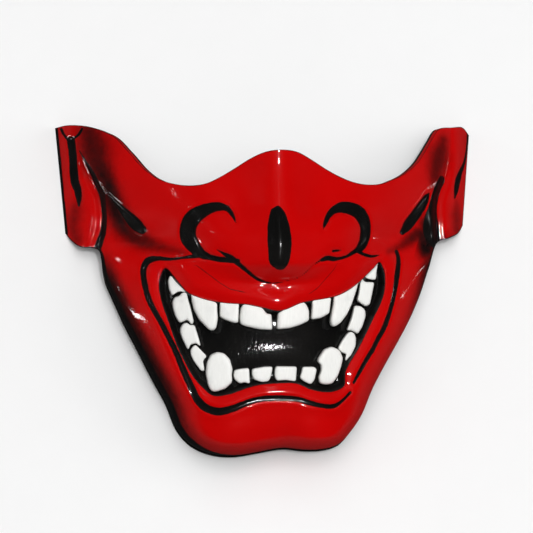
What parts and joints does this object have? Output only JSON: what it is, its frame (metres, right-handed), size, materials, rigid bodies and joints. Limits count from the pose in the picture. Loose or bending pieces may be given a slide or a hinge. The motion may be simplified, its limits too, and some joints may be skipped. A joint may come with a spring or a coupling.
{
  "type": "oni half mask",
  "caption": "Rigid red gloss half mask for the lower face, with a broad nose, bared white teeth and fangs, flared ears and a hollow back for the wearer's face.",
  "frame": {"origin": "under the middle of the mask's box, on the surface it lies on face up", "axes": "+X from ear to ear towards the right of the picture, +Y from chin to brow, +Z out of the face"},
  "size_m": [0.1888, 0.1574, 0.0657],
  "materials": {
    "shell_red": "glossy red lacquer with black painted lines, airbrushed dark edges and a glossy black mouth",
    "teeth_white": "off-white paint, satin, with faint brush marks"
  },
  "bodies": {
    "root": {"shell": "shell_red", "fang_upper_left": "teeth_white", "fang_upper_right": "teeth_white", "fang_lower_left": "teeth_white", "fang_lower_right": "teeth_white", "incisor_upper_1": "teeth_white", "incisor_upper_2": "teeth_white", "incisor_upper_3": "teeth_white", "incisor_upper_4": "teeth_white", "incisor_lower_1": "teeth_white", "incisor_lower_2": "teeth_white", "incisor_lower_3": "teeth_white", "incisor_lower_4": "teeth_white", "molar_left_1": "teeth_white", "molar_left_2": "teeth_white", "molar_left_3": "teeth_white", "molar_left_4": "teeth_white", "molar_right_1": "teeth_white", "molar_right_2": "teeth_white", "molar_right_3": "teeth_white", "molar_right_4": "teeth_white"}
  },
  "joints": []
}
